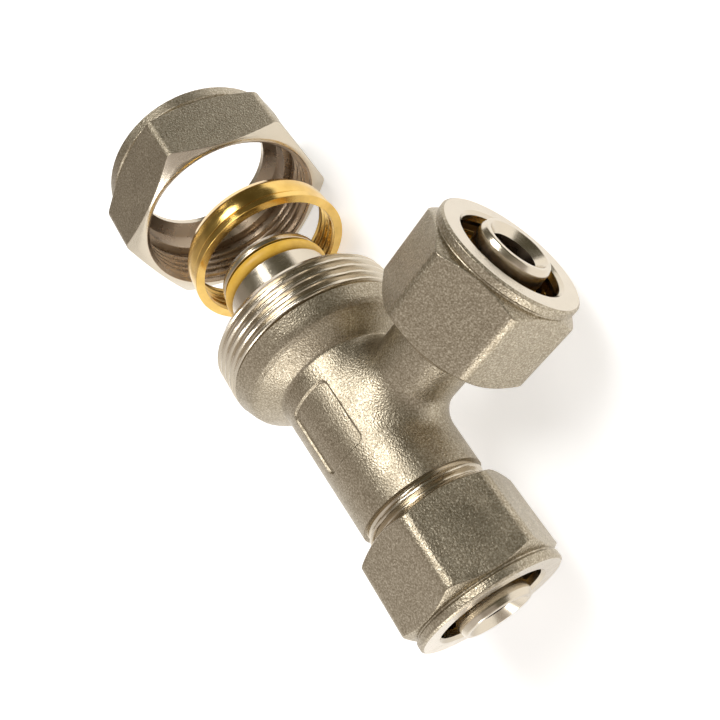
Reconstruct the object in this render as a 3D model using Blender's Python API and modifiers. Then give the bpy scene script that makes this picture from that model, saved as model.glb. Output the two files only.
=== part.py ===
"""Compression reducing tee, 25 x 16 x 16 mm, for multilayer pipe.

A forged brass tee with three insert nipples.  Each end has a hex nut, a split
clamping ring, an insulating washer and two O-rings.  The 25 mm end is drawn
with its nut and ring off the nipple, the two 16 mm ends are made up.

Every end is modelled upright: its local +Z is the way out of the fitting along
that end's axis, and its local origin is the point where the run and branch axes
cross.  Lengths in the tables are millimetres; MM turns them into metres.
"""
import math

import bmesh
import bpy
from mathutils import Matrix

MM = 0.001
TURN = 2.0 * math.pi

# ---- sizes shared by the whole fitting --------------------------------------
THREAD_PITCH = 1.5            # all three threads, right-hand
THREAD_START_TURN = 0.37      # where on the turn the thread form begins
THREAD_GAP = 0.2              # radial clearance, nut thread to body thread
FIT_GAP = 0.3                 # clearance between pieces that lie together
ROUND_STEPS = 20              # facets round a small turned piece
BIG_STEPS = 28                # facets round a large turned piece

SEAL_STEPS = 16               # facets round an O-ring
SEAL_SIDES = 6                # facets round an O-ring's section

# ---- run tube, shoulder and branch neck -------------------------------------
TUBE_R_LARGE = 10.8           # run tube radius beside the shoulder
TUBE_R_SMALL = 10.3           # run tube radius beside the 16 mm thread
SHOULDER_KNEE = (1.35, 3.2)   # knee of the shoulder: inside the thread, behind it
SHOULDER_LENGTH = 5.95        # from the 25 mm thread back to the tube
NECK_R = 6.8                  # outside radius of the branch neck
NECK_FILLET = 3.0             # flare of the neck where it leaves the run tube
NECK_STEP = 1.4               # cone between the neck and the branch thread
LABEL_LENGTH = 11.8           # blank recessed panel, along the run
LABEL_WIDTH = 8.8             # blank recessed panel, across the run
LABEL_DEPTH = 0.4

# ---- driving sizes of the three ends ------------------------------------------
# pipe_r         outside radius of the pipe; every other radius starts from it
# collar_wall    wall between the pipe socket and the outside of the thread
# nut_wall       least wall of the nut outside its thread
# thread_start   first thread, as far from the crossing as the body reaches
# hex_phase      turns the corners round the axis, hex_corner rounds them
# nipple_proud   how far a made-up nipple stands out of its nut
# ring_drawn     gap between the nipple's end and a ring drawn off it
LARGE = dict(
    name="large", steps=BIG_STEPS, pipe_r=12.5, collar_wall=3.5, nut_wall=1.05,
    thread_start=15.2, thread_length=7.6, thread_depth=0.75, socket_depth=5.5,
    socket_cone=1.5, nipple_r=9.3, nipple_length=18.16, nipple_nose=0.7,
    flow_r=6.6, seals_from_end=(9.9, 3.2), seal_half_width=1.2,
    seal_half_depth=0.95, seal_stand=0.45, washer_thickness=1.4,
    nut_length=15.0, hex_phase=27.1, hex_corner=1.5, collar_length=2.8,
    collar_proud=0.15, groove_depth=0.35, rim_wall=0.95, chamfer_in=1.6,
    chamfer_out=2.1, lip=1.4, seat_room=0.4, bore_room=0.4,
    ring_length=6.2, ring_room=0.35, ring_under_thread=0.9, ring_flange=0.35,
    ring_taper=0.9, ring_ridges=2, ring_gap=1.6, ring_gap_phase=230.0,
    ring_shift=(0.26, -2.2), ring_drawn=2.94, nut_drawn=5.7)
RUN = dict(
    name="run", steps=ROUND_STEPS, pipe_r=8.0, collar_wall=1.75, nut_wall=1.3,
    thread_start=15.2, nut_stand=2.9, thread_depth=0.75, socket_depth=6.0,
    socket_cone=0.7, nipple_r=5.75, nipple_proud=1.5, nipple_nose=0.8,
    flow_r=3.6, seals_from_end=(8.1, 4.6), seal_half_width=0.95,
    seal_half_depth=0.72, seal_stand=0.3, washer_thickness=1.2,
    nut_length=15.1, hex_phase=21.0, hex_corner=2.0, collar_length=1.7,
    collar_proud=0.2, groove_depth=0.25, rim_wall=1.1, chamfer_in=1.4,
    chamfer_out=1.4, lip=1.5, seat_room=1.2, bore_room=0.3,
    ring_length=4.2, ring_room=0.2, ring_under_thread=0.2, ring_flange=0.2,
    ring_taper=0.35, ring_ridges=1, ring_gap=1.2, ring_gap_phase=200.0,
    ring_shift=(0.0, 0.0))
BRANCH = dict(RUN, name="branch", thread_start=19.6, nut_stand=1.0,
              hex_phase=-5.5, ring_gap_phase=160.0)
SOCKET_ROOM = 0.25            # radial room round the pipe in its socket
THREAD_SHORT = 0.7            # body thread ends this far inside a made-up nut
RING_GAP = 0.4                # between the threaded collar and a seated ring


def complete(end):
    """Work out the sizes that an end's pieces share from its driving sizes."""
    end["socket_r"] = end["pipe_r"] + SOCKET_ROOM
    end["pipe_bore_r"] = end["pipe_r"] + end["bore_room"]
    end["ring_bore_r"] = end["pipe_r"] + end["ring_room"]
    end["thread_r"] = end["socket_r"] + end["collar_wall"]
    end["hex_af"] = 2.0 * (end["thread_r"] + THREAD_GAP + end["nut_wall"])
    end["collar_r"] = end["hex_af"] / 2.0 + end["collar_proud"]
    end["groove_r"] = end["hex_af"] / 2.0 - end["groove_depth"]
    end["rim_r"] = end["thread_r"] + end["rim_wall"]
    end["ring_r"] = end["thread_r"] - end["thread_depth"] - end["ring_under_thread"]
    end["ring_barrel_r"] = end["ring_r"] - end["ring_flange"]
    end["thread_cut"] = (end["nut_length"] - end["lip"] - end["ring_length"]
                         - end["seat_room"])
    if "nut_stand" in end:
        end["thread_length"] = end["nut_stand"] + end["thread_cut"] - THREAD_SHORT
        end["nut_start"] = end["thread_start"] + end["nut_stand"]
        end["nipple_end"] = end["nut_start"] + end["nut_length"] + end["nipple_proud"]
    end["thread_end"] = end["thread_start"] + end["thread_length"]
    end["socket_bottom"] = end["thread_end"] - end["socket_depth"]
    if "nut_stand" in end:
        end["ring_start"] = end["thread_end"] + RING_GAP
    else:
        end["nipple_end"] = end["socket_bottom"] + end["nipple_length"]
        end["ring_start"] = end["nipple_end"] + end["ring_drawn"]
        end["nut_start"] = end["ring_start"] + end["ring_length"] + end["nut_drawn"]
    end["seal_at"] = [end["nipple_end"] - back for back in end["seals_from_end"]]


for _end in (LARGE, RUN, BRANCH):
    complete(_end)

# Local +Z to the way out of each end, and the turn that carries an angle given
# from world +Z round the axis into the end's own frame.
WAY_OUT = {
    "large": (Matrix.Rotation(-math.pi / 2, 4, "Y"), 1.0, 0.0),
    "run": (Matrix.Rotation(math.pi / 2, 4, "Y"), -1.0, 180.0),
    "branch": (Matrix.Rotation(-math.pi / 2, 4, "X"), 1.0, -90.0),
}

NICKEL = ("sandblasted nickel", (0.46, 0.41, 0.33, 1.0), 0.42, 1.0)
BRASS = ("polished brass", (0.80, 0.55, 0.18, 1.0), 0.16, 1.0)
SEAL = ("yellow seal rubber", (0.72, 0.46, 0.04, 1.0), 0.5, 0.0)
PTFE = ("white washer", (0.85, 0.85, 0.82, 1.0), 0.45, 0.0)


def clear_scene():
    for obj in list(bpy.data.objects):
        bpy.data.objects.remove(obj, do_unlink=True)


def collection(name):
    col = bpy.data.collections.new(name)
    bpy.context.scene.collection.children.link(col)
    return col


def material(name, look):
    mat = bpy.data.materials.new(name)
    mat.use_nodes = True
    shader = mat.node_tree.nodes["Principled BSDF"]
    shader.inputs["Base Color"].default_value = look[1]
    shader.inputs["Roughness"].default_value = look[2]
    shader.inputs["Metallic"].default_value = look[3]
    mat.diffuse_color = look[1]
    return mat


def add_object(name, mesh, col):
    obj = bpy.data.objects.new(name, mesh)
    col.objects.link(obj)
    return obj


def finish_mesh(bm, name):
    mesh = bpy.data.meshes.new(name)
    bm.to_mesh(mesh)
    bm.free()
    return mesh


def turned(name, outline, steps, col):
    """Turn a closed outline of (radius, height) points about local Z.

    The outline runs down its outer side and up its inner side.
    """
    bm = bmesh.new()
    points = [bm.verts.new((r * MM, 0.0, h * MM)) for r, h in outline]
    for one, two in zip(points, points[1:]):
        bm.edges.new((one, two))
    if outline[0][0] > 0 or outline[-1][0] > 0:
        bm.edges.new((points[-1], points[0]))
    obj = add_object(name, finish_mesh(bm, name), col)
    screw = obj.modifiers.new("turn", "SCREW")
    screw.axis = "Z"
    screw.angle = TURN
    screw.steps = steps
    screw.render_steps = steps
    screw.use_merge_vertices = True
    screw.merge_threshold = 0.00001
    return obj


def solid_disc(bottom, top, radius):
    return [(0.0, top), (radius, top), (radius, bottom), (0.0, bottom)]


def threaded_rod(name, root_r, crest_r, start, end, steps, col):
    """A rod whose side follows a right-hand helix: crest, root, crest, ...

    Rows lie along the helix, so the surface slides on itself when the rod turns
    and moves a pitch a turn.  The ends are ragged and are cut away afterwards.
    """
    rows = 2 * int(math.ceil((end - start) / THREAD_PITCH)) + 4
    bm = bmesh.new()
    grid = []
    for row in range(rows + 1):
        radius = crest_r if row % 2 == 0 else root_r
        line = []
        for step in range(steps):
            share = step / steps
            angle = TURN * share
            height = start + THREAD_PITCH * (row / 2.0 + share - 1.0)
            line.append(bm.verts.new((radius * MM * math.cos(angle),
                                      radius * MM * math.sin(angle), height * MM)))
        grid.append(line)

    def node(row, step):
        return grid[row + 2][0] if step == steps else grid[row][step]

    for row in range(rows - 2):
        for step in range(steps):
            corners = (node(row, step), node(row, step + 1),
                       node(row + 1, step + 1), node(row + 1, step))
            bm.faces.new(corners)
    low = bm.verts.new((0.0, 0.0, (start - 2.0 * THREAD_PITCH) * MM))
    high = bm.verts.new((0.0, 0.0, (start + THREAD_PITCH * (rows / 2.0 + 1.0)) * MM))
    low_loop = [node(0, step) for step in range(steps + 1)] + [grid[1][0]]
    for one, two in zip(low_loop, low_loop[1:] + low_loop[:1]):
        bm.faces.new((low, two, one))
    top = rows - 2
    high_loop = [node(top, step) for step in range(steps + 1)] + [grid[top + 1][0]]
    for one, two in zip(high_loop, high_loop[1:] + high_loop[:1]):
        bm.faces.new((high, one, two))
    loose = [vert for vert in bm.verts if not vert.link_faces]
    bmesh.ops.delete(bm, geom=loose, context="VERTS")
    bmesh.ops.recalc_face_normals(bm, faces=bm.faces)
    return add_object(name, finish_mesh(bm, name), col)


def combine(obj, other, operation):
    step = obj.modifiers.new(operation.lower() + " " + other.name, "BOOLEAN")
    step.operation = operation
    step.solver = "EXACT"
    step.object = other
    other.hide_render = True
    other.display_type = "WIRE"


def hex_prism(name, across_flats, corner, bottom, top, angle, col):
    """A six-sided bar with rounded corners."""
    bm = bmesh.new()
    radius = across_flats / math.sqrt(3.0)
    bmesh.ops.create_cone(bm, cap_ends=True, segments=6, radius1=radius * MM,
                          radius2=radius * MM, depth=(top - bottom) * MM)
    upright = [edge for edge in bm.edges
               if abs(edge.verts[0].co.z - edge.verts[1].co.z) > 0.5 * MM]
    bmesh.ops.bevel(bm, geom=upright, offset=corner * math.tan(math.pi / 6) * MM,
                    segments=3, profile=0.5, affect="EDGES")
    first = min((math.atan2(v.co.y, v.co.x) for v in bm.verts), key=abs)
    middle = min((math.atan2(f.normal.y, f.normal.x) for f in bm.faces
                  if abs(f.normal.z) < 0.1 and f.calc_area() > 2 * corner * MM * MM),
                 key=abs)
    turn = angle - (middle + math.pi / 6)
    bmesh.ops.rotate(bm, verts=bm.verts, matrix=Matrix.Rotation(turn, 3, "Z"))
    bmesh.ops.translate(bm, verts=bm.verts, vec=(0, 0, (top + bottom) / 2 * MM))
    return add_object(name, finish_mesh(bm, name), col)


def local_angle(end, degrees):
    _, sign, offset = WAY_OUT[end["name"]]
    return math.radians(sign * degrees + offset)


def thread_base(end, below):
    """A height under `below` where both threads of an end have the same phase."""
    begin = end["thread_start"] + THREAD_START_TURN * THREAD_PITCH
    return begin + THREAD_PITCH * math.floor((below - begin) / THREAD_PITCH)


def make_nut(end, parts, tools):
    """Hex nut: rounded hexagon, chamfers, round collar, lip, ring seat, thread."""
    name = end["name"]
    low = end["nut_start"]
    high = low + end["nut_length"]
    steps = end["steps"]
    angle = local_angle(end, end["hex_phase"])
    corner_r = end["hex_af"] / math.sqrt(3.0) + 0.2
    nut = hex_prism(name + "_nut", end["hex_af"], end["hex_corner"],
                    low - 1.0, high + 1.0, angle, parts)
    collar = high - end["collar_length"]
    envelope = turned(name + "_nut_envelope", [
        (0.0, collar + 0.4), (end["groove_r"], collar + 0.4),
        (end["groove_r"], collar - 0.1), (corner_r, collar - end["chamfer_out"]),
        (corner_r, low + end["chamfer_in"]), (end["rim_r"], low), (0.0, low)],
        steps, tools)
    band = turned(name + "_nut_collar", [
        (0.0, high), (end["collar_r"] - 0.3, high), (end["collar_r"], high - 0.4),
        (end["collar_r"], collar + 0.2), (end["collar_r"] - 0.2, collar),
        (0.0, collar)], steps, tools)
    internal_r = end["thread_r"] - end["thread_depth"] + THREAD_GAP
    relief_r = end["thread_r"] + THREAD_GAP + 0.1
    seat_r = end["ring_r"] + FIT_GAP
    thread_top = low + end["thread_cut"]
    lip_low = high - end["lip"]
    cone = seat_r - end["pipe_bore_r"]
    bore = turned(name + "_nut_bore", [
        (0.0, high + 1.0), (end["pipe_bore_r"] + 1.3, high + 1.0),
        (end["pipe_bore_r"] + 0.3, high), (end["pipe_bore_r"], high - 0.3),
        (end["pipe_bore_r"], lip_low), (seat_r, lip_low - cone),
        (seat_r, thread_top + 1.4), (relief_r, thread_top + 1.0),
        (relief_r, thread_top), (internal_r, thread_top - 0.5),
        (internal_r, low + 1.0), (relief_r, low), (relief_r + 1.0, low - 1.0),
        (0.0, low - 1.0)], steps, tools)
    rod = threaded_rod(name + "_nut_thread", end["thread_r"] - end["thread_depth"]
                       + THREAD_GAP - 0.05, end["thread_r"] + THREAD_GAP,
                       thread_base(end, low - 0.6), thread_top + 0.6, steps, tools)
    trim = turned(name + "_nut_thread_trim",
                  solid_disc(low - 0.5, thread_top + 0.5, relief_r + 3.0),
                  steps, tools)
    combine(rod, trim, "INTERSECT")
    combine(nut, envelope, "INTERSECT")
    combine(nut, band, "UNION")
    combine(nut, bore, "DIFFERENCE")
    combine(nut, rod, "DIFFERENCE")
    return nut


def make_ring(end, parts, tools):
    """Split clamping ring: front flange, barrel, taper, inner ridges, one gap."""
    name = end["name"]
    low = end["ring_start"]
    high = low + end["ring_length"]
    bore = end["ring_bore_r"]
    barrel = end["ring_barrel_r"]
    outline = [(bore + 0.1, high), (barrel - end["ring_taper"], high),
               (barrel, high - 1.5), (barrel, low + 1.1),
               (end["ring_r"], low + 0.8), (end["ring_r"], low),
               (bore + 0.15, low)]
    span = (end["ring_length"] - 0.8) / end["ring_ridges"]
    for ridge in range(end["ring_ridges"]):
        foot = low + 0.4 + ridge * span
        outline += [(bore + 0.3, foot), (bore, foot + 0.5 * span)]
    outline.append((bore + 0.3, high - 0.4))
    ring = turned(name + "_split_ring", outline, end["steps"], parts)
    bm = bmesh.new()
    bmesh.ops.create_cube(bm, size=1.0)
    reach = end["ring_r"] + 1.0
    bmesh.ops.scale(bm, vec=(reach * MM, end["ring_gap"] * MM,
                             (end["ring_length"] + 2.0) * MM), verts=bm.verts)
    bmesh.ops.translate(bm, vec=(reach / 2 * MM, 0, (low + high) / 2 * MM),
                        verts=bm.verts)
    angle = local_angle(end, end["ring_gap_phase"])
    bmesh.ops.rotate(bm, verts=bm.verts, matrix=Matrix.Rotation(angle, 3, "Z"))
    gap = add_object(name + "_ring_gap", finish_mesh(bm, name + "_ring_gap"), tools)
    combine(ring, gap, "DIFFERENCE")
    return ring


def make_washer(end, parts):
    low = end["socket_bottom"] + FIT_GAP
    high = low + end["washer_thickness"]
    inner = end["nipple_r"] + FIT_GAP
    outer = end["socket_r"] - FIT_GAP
    return turned(end["name"] + "_insulating_washer",
                  [(inner, high), (outer, high), (outer, low), (inner, low)],
                  end["steps"], parts)


def seal_radius(end):
    """Radius of the middle of an O-ring's section."""
    return end["nipple_r"] + end["seal_stand"] - end["seal_half_depth"]


def make_seal(end, index, label, parts):
    """An O-ring, slightly squashed along the nipple, in its groove."""
    middle = end["seal_at"][index]
    outline = []
    for step in range(SEAL_SIDES):
        angle = math.pi / 2 - TURN * (step + 0.5) / SEAL_SIDES
        outline.append((seal_radius(end) + end["seal_half_depth"] * math.cos(angle),
                        middle + end["seal_half_width"] * math.sin(angle)))
    return turned(end["name"] + "_" + label + "_o_ring", outline, SEAL_STEPS, parts)


def nipple_outline(end):
    """Insert nipple with two O-ring grooves, solid; the bore is cut later."""
    top = end["nipple_end"]
    side = end["nipple_r"]
    floor = seal_radius(end) - end["seal_half_depth"] - FIT_GAP
    half = end["seal_half_width"] + FIT_GAP
    outline = [(0.0, top), (side - 0.5 * end["nipple_nose"], top),
               (side, top - end["nipple_nose"])]
    for middle in sorted(end["seal_at"], reverse=True):
        outline += [(side, middle + half), (floor, middle + half),
                    (floor, middle - half), (side, middle - half)]
    low = end["socket_bottom"] - 1.5
    outline += [(side, low), (0.0, low)]
    return outline


def thread_sleeve(end, tools):
    """External thread, chamfered at its open end."""
    name = end["name"]
    low = end["thread_start"] - 0.3
    high = end["thread_end"]
    radius = end["thread_r"]
    root = radius - end["thread_depth"]
    rod = threaded_rod(name + "_body_thread", root, radius,
                       thread_base(end, low - 0.6), high + 0.6, end["steps"], tools)
    over_flats = 1.0 / math.cos(math.pi / end["steps"])
    full = (radius + 0.05) * over_flats
    blank = turned(name + "_thread_blank", [
        (0.0, high), ((root - THREAD_GAP) * over_flats, high), (full, high - 1.2),
        (full, low + 0.65), (root - FIT_GAP, low), (0.0, low)],
        end["steps"], tools)
    combine(rod, blank, "INTERSECT")
    return rod


def run_outline():
    """Run tube and shoulder, from the 16 mm thread down to the 25 mm one."""
    top = RUN["thread_start"]
    edge = -LARGE["thread_start"]
    foot = edge + SHOULDER_LENGTH
    knee_r = LARGE["thread_r"] - SHOULDER_KNEE[0]
    knee = edge + SHOULDER_KNEE[1]
    return [(0.0, top), (TUBE_R_SMALL, top), (TUBE_R_LARGE, foot + 0.6),
            (TUBE_R_LARGE + 0.15, foot + 0.15), (TUBE_R_LARGE + 0.5, foot - 0.2),
            (knee_r - 0.65, knee + 0.5), (knee_r, knee - 0.15),
            (knee_r + 0.4, knee - 1.2), (LARGE["thread_r"] - 0.15, edge),
            (0.0, edge)]


def neck_outline():
    """Branch neck: flare out of the run tube, then the step to the thread."""
    top = BRANCH["thread_start"]
    step_r = BRANCH["thread_r"] - BRANCH["thread_depth"] - 0.2
    low = TUBE_R_SMALL - 1.4
    outline = [(0.0, top), (step_r, top), (NECK_R, top - NECK_STEP)]
    middle = low + NECK_FILLET + 0.6
    for step in range(6):
        angle = 0.5 * math.pi * step / 5
        outline.append((NECK_R + NECK_FILLET * (1.0 - math.cos(angle)) * 0.7,
                        middle - NECK_FILLET * math.sin(angle)))
    outline.append((0.0, low))
    return outline


def label_cutter(tools):
    """Shallow pocket that follows the run tube, on its +Z side."""
    bm = bmesh.new()
    bmesh.ops.create_cube(bm, size=1.0)
    bmesh.ops.scale(bm, verts=bm.verts,
                    vec=(LABEL_LENGTH * MM, LABEL_WIDTH * MM, 8.0 * MM))
    bmesh.ops.translate(bm, verts=bm.verts, vec=(0, 0, (TUBE_R_SMALL + 1.0) * MM))
    upright = [edge for edge in bm.edges
               if abs(edge.verts[0].co.z - edge.verts[1].co.z) > MM]
    bmesh.ops.bevel(bm, geom=upright, offset=1.0 * MM, segments=2, profile=0.5,
                    affect="EDGES")
    cutter = add_object("label_panel", finish_mesh(bm, "label_panel"), tools)
    core = turned("label_floor", [
        (0.0, 12.0), (TUBE_R_SMALL + 0.1 - LABEL_DEPTH, 12.0),
        (TUBE_R_LARGE - 0.1 - LABEL_DEPTH, -12.0), (0.0, -12.0)], BIG_STEPS, tools)
    core.matrix_world = WAY_OUT["run"][0]
    combine(cutter, core, "DIFFERENCE")
    return cutter


def half_facet(steps):
    """A turn that keeps a forged surface's facets off the thread's facets."""
    return Matrix.Rotation(math.pi / steps, 4, "Z")


def make_body(parts, tools):
    """The forged tee body with its threads, sockets, nipples and flow passages."""
    body = turned("tee_body", run_outline(), BIG_STEPS, parts)
    body.matrix_world = WAY_OUT["run"][0]
    neck = turned("branch_neck", neck_outline(), ROUND_STEPS, tools)
    neck.matrix_world = WAY_OUT["branch"][0] @ half_facet(ROUND_STEPS)
    combine(body, neck, "UNION")
    for end in (LARGE, RUN, BRANCH):
        sleeve = thread_sleeve(end, tools)
        sleeve.matrix_world = WAY_OUT[end["name"]][0]
        blank = sleeve.modifiers[0].object
        blank.matrix_world = WAY_OUT[end["name"]][0] @ half_facet(end["steps"])
        combine(body, sleeve, "UNION")
    for end in (LARGE, RUN, BRANCH):
        wide = end["socket_r"] + end["socket_cone"]
        top = end["thread_end"]
        socket = turned(end["name"] + "_socket", [
            (0.0, top + 1.0), (wide + 1.0, top + 1.0), (wide, top),
            (end["socket_r"], top - end["socket_cone"]),
            (end["socket_r"], end["socket_bottom"]), (0.0, end["socket_bottom"])],
            end["steps"], tools)
        nipple = turned(end["name"] + "_nipple", nipple_outline(end), end["steps"],
                        tools)
        for piece in (socket, nipple):
            piece.matrix_world = WAY_OUT[end["name"]][0]
        combine(body, socket, "DIFFERENCE")
        combine(body, nipple, "UNION")
    combine(body, label_cutter(tools), "DIFFERENCE")
    wide = LARGE["flow_r"]
    fine = RUN["flow_r"]
    passage = turned("run_passage", [
        (0.0, RUN["nipple_end"] + 1.0), (fine + 2.0, RUN["nipple_end"] + 1.0),
        (fine, RUN["nipple_end"] - 1.0), (fine, wide + 2.0), (wide, wide - 1.0),
        (wide, 1.2 - LARGE["nipple_end"]), (wide + 2.2, -LARGE["nipple_end"] - 1.0),
        (0.0, -LARGE["nipple_end"] - 1.0)], ROUND_STEPS, tools)
    passage.matrix_world = WAY_OUT["run"][0]
    combine(body, passage, "DIFFERENCE")
    fine = BRANCH["flow_r"]
    passage = turned("branch_passage", [
        (0.0, BRANCH["nipple_end"] + 1.0), (fine + 2.0, BRANCH["nipple_end"] + 1.0),
        (fine, BRANCH["nipple_end"] - 1.0), (fine, 0.0), (0.0, 0.0)],
        ROUND_STEPS, tools)
    passage.matrix_world = WAY_OUT["branch"][0]
    combine(body, passage, "DIFFERENCE")
    return body


def place_on_table(parts, anchor):
    """Move everything so that the part's box stands centred on the origin."""
    bpy.context.view_layer.update()
    graph = bpy.context.evaluated_depsgraph_get()
    corners = []
    for obj in parts.objects:
        if obj.type != "MESH":
            continue
        shape = obj.evaluated_get(graph)
        mesh = shape.to_mesh()
        corners += [shape.matrix_world @ vert.co for vert in mesh.vertices]
        shape.to_mesh_clear()
    low = [min(co[axis] for co in corners) for axis in range(3)]
    high = [max(co[axis] for co in corners) for axis in range(3)]
    anchor.location = (-(low[0] + high[0]) / 2, -(low[1] + high[1]) / 2, -low[2])


def main():
    clear_scene()
    parts = collection("compression_tee")
    tools = collection("cutters")
    anchor = add_object("axes_crossing", None, parts)
    nickel = material(NICKEL[0], NICKEL)
    brass = material(BRASS[0], BRASS)
    rubber = material(SEAL[0], SEAL)
    white = material(PTFE[0], PTFE)
    body = make_body(parts, tools)
    body.data.materials.append(nickel)
    for end in (LARGE, RUN, BRANCH):
        before = set(tools.objects)
        nut = make_nut(end, parts, tools)
        ring = make_ring(end, parts, tools)
        washer = make_washer(end, parts)
        seals = [make_seal(end, 0, "inner", parts), make_seal(end, 1, "outer", parts)]
        for piece, look in [(nut, nickel), (ring, brass), (washer, white),
                            (seals[0], rubber), (seals[1], rubber)]:
            piece.data.materials.append(look)
        turn = WAY_OUT[end["name"]][0]
        for piece in [nut, ring, washer] + seals:
            piece.matrix_world = turn
        for piece in set(tools.objects) - before:
            piece.matrix_world = turn
        shift = Matrix.Translation((0.0, end["ring_shift"][0] * MM,
                                    end["ring_shift"][1] * MM))
        ring.matrix_world = shift @ turn
        ring.modifiers[-1].object.matrix_world = shift @ turn
    for obj in list(parts.objects) + list(tools.objects):
        if obj is not anchor:
            place = obj.matrix_world.copy()
            obj.parent = anchor
            obj.matrix_world = place
    place_on_table(parts, anchor)
    for obj in parts.objects:
        if obj.type == "MESH":
            obj.data.shade_smooth()
            obj.data.set_sharp_from_angle(angle=math.radians(30))


main()
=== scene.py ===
"""Looks of the 25 x 16 x 16 compression tee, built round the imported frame.

Every end is modelled upright and then laid along its axis: local +Z is the way
out of the fitting and the local origin is the crossing of the axes.  A row of a
surface is a list of (radius, height) pairs, one for each angle round the axis.
Lengths are millimetres until a mesh is made.
"""

import math

import bmesh
import bpy
import numpy as np
from mathutils import Matrix, Vector


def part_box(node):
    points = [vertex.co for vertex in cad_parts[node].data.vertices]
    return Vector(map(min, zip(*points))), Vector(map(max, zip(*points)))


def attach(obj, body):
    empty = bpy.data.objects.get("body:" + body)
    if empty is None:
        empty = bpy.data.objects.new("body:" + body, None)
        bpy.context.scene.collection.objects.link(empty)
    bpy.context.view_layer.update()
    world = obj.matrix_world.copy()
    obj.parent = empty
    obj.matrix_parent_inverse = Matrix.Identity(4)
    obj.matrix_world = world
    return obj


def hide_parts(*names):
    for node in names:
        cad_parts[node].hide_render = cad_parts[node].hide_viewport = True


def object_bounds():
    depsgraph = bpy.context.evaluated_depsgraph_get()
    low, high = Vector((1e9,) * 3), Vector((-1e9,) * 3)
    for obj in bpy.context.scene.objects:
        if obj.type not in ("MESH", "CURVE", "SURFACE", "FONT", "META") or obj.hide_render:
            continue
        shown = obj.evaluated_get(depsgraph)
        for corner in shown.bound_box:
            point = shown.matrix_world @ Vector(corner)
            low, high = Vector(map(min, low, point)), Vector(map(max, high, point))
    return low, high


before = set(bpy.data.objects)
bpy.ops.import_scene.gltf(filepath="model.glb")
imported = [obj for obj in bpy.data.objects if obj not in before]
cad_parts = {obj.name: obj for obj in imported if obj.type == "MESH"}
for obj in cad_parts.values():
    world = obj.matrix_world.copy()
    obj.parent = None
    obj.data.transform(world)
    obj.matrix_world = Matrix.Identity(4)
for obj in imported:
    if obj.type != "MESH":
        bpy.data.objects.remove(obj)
CAD_LOW, CAD_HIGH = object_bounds()

MM = 0.001
TURN = 2.0 * math.pi

# ---- the three ends: places from the frame, shapes as in the CAD -------------
# Local +Z to each way out, and the turn that takes an angle from world +Z round
# the axis (towards +Y on the run, +X on the branch) into the end's own frame.
WAY_OUT = {
    "large": (Matrix.Rotation(-math.pi / 2, 3, "Y"), 1.0, 0.0),
    "run": (Matrix.Rotation(math.pi / 2, 3, "Y"), -1.0, 180.0),
    "branch": (Matrix.Rotation(-math.pi / 2, 3, "X"), 1.0, -90.0),
}
PITCH = 1.5
THREAD_START_TURN = 0.37
THREAD_GAP = 0.2
THREAD_ROWS = 14              # rows to a pitch
TUBE_R_LARGE = 10.8
TUBE_R_SMALL = 10.3
SHOULDER_FOOT = 9.25          # where the shoulder meets the tube
SHOULDER_KNEE = (14.9, -12.0)  # radius and place of the shoulder's knee
SHOULDER_R = 16.1             # shoulder radius beside the thread
NECK_R = 6.8
NECK_FILLET = 3.0
NECK_STEP = 18.2              # top of the neck, where the branch cone begins
LABEL_LENGTH = 11.8
LABEL_WIDTH = 8.8
LABEL_DEPTH = 0.42
LABEL_WALL = 0.26             # breadth of the panel's sloping edge
LABEL_CORNER = 1.2            # rounding of the panel's corners
VOXEL_FULL = 0.22             # voxel size of the forging's remesh
SHARP_ANGLE = math.radians(38)
LARGE = dict(
    name="large", hex_af=35.0, hex_phase=27.1, hex_corner=1.65, collar_r=17.65,
    collar_start=12.2, groove_r=17.15, rim_r=17.2, chamfer_in=1.6,
    chamfer_out=10.1, edge_blend=0.12, thread_r=16.25, thread_depth=0.75,
    thread_start=15.2, thread_end=22.8, end_chamfer=(0.95, 1.2), thread_cut=7.0,
    pipe_bore_r=12.9, lip=1.4, socket_r=12.75, socket_bottom=17.3,
    socket_cone=1.5, nipple_r=9.3, nipple_nose=0.9, nose_chamfer=1.1, flow_r=6.6,
    seal_half_width=1.2, seal_half_depth=0.95, seal_stand=0.45, ring_ridges=2,
    ring_bore_r=12.85, ring_barrel_r=14.25, ring_r=14.6, ring_taper=0.9,
    ring_gap=1.6, ring_gap_phase=230.0, base_r=SHOULDER_R, columns=168)
RUN = dict(
    name="run", hex_af=23.0, hex_phase=21.0, hex_corner=2.0, collar_r=11.7,
    collar_start=13.4, groove_r=11.25, rim_r=11.1, chamfer_in=1.4,
    chamfer_out=12.0, edge_blend=0.2, thread_r=10.0, thread_depth=0.75,
    thread_start=15.2, thread_end=25.6, end_chamfer=(0.85, 1.0), thread_cut=8.2,
    pipe_bore_r=8.3, lip=1.5, socket_r=8.25, socket_bottom=19.6,
    socket_cone=0.7, nipple_r=5.75, nipple_nose=0.8, nose_chamfer=1.2, flow_r=3.6,
    seal_half_width=0.95, seal_half_depth=0.72, seal_stand=0.3, ring_ridges=1,
    ring_bore_r=8.2, ring_barrel_r=8.85, ring_r=9.05, ring_taper=0.35,
    ring_gap=1.2, ring_gap_phase=200.0, base_r=TUBE_R_SMALL, columns=144)
BRANCH = dict(RUN)
BRANCH.update(name="branch", hex_phase=-5.5, thread_start=19.6, thread_end=28.1,
              socket_bottom=22.1, ring_gap_phase=160.0, base_r=NECK_R)
ENDS = (LARGE, RUN, BRANCH)


def middle(node):
    low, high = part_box(node)
    return (low + high) / 2 / MM


ANCHOR = Vector((middle("branch_outer_o_ring").x, middle("large_outer_o_ring").y,
                 middle("large_outer_o_ring").z))


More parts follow.
